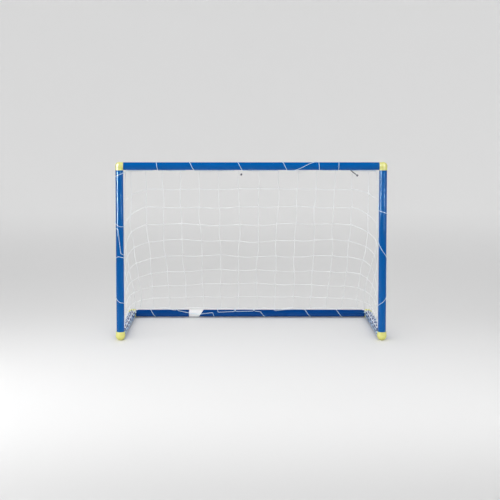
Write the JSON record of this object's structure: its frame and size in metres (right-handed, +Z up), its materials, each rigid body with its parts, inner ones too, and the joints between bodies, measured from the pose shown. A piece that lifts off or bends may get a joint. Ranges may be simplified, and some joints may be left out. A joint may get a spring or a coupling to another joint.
{
  "type": "soccer goal frame",
  "caption": "Small free-standing soccer goal of round plastic tubes pushed on to corner elbows, with a sloping net laced to every tube by a thin cord.",
  "frame": {"origin": "on the ground, at the middle of the footprint", "axes": "+X to the right along the crossbar, +Y from the mouth to the rear tube, +Z up"},
  "size_m": [1.2, 0.56, 0.7922],
  "materials": {
    "tube_blue": "satin-gloss extruded plastic tube, mid blue",
    "elbow_yellow": "satin moulded plastic, pale yellow",
    "net_white": "thin knotted synthetic string, white",
    "cord_white": "thin twisted synthetic cord, white",
    "toggle_dark": "moulded plastic, very dark blue",
    "label_white": "blank white wrap, matt"
  },
  "bodies": {
    "root": {"crossbar": "tube_blue", "left_post": "tube_blue", "right_post": "tube_blue", "left_side_bar": "tube_blue", "right_side_bar": "tube_blue", "rear_bar": "tube_blue", "top_left_elbow": "elbow_yellow", "top_right_elbow": "elbow_yellow", "front_left_foot": "elbow_yellow", "front_right_foot": "elbow_yellow", "rear_left_elbow": "elbow_yellow", "rear_right_elbow": "elbow_yellow", "net_back": "net_white", "net_left": "net_white", "net_right": "net_white", "lacing_crossbar": "cord_white", "lacing_left_post": "cord_white", "lacing_right_post": "cord_white", "lacing_left_side_bar": "cord_white", "lacing_right_side_bar": "cord_white", "lacing_rear_bar": "cord_white", "net_toggle_centre": "toggle_dark", "net_toggle_right": "toggle_dark", "rear_label": "label_white"}
  },
  "joints": []
}
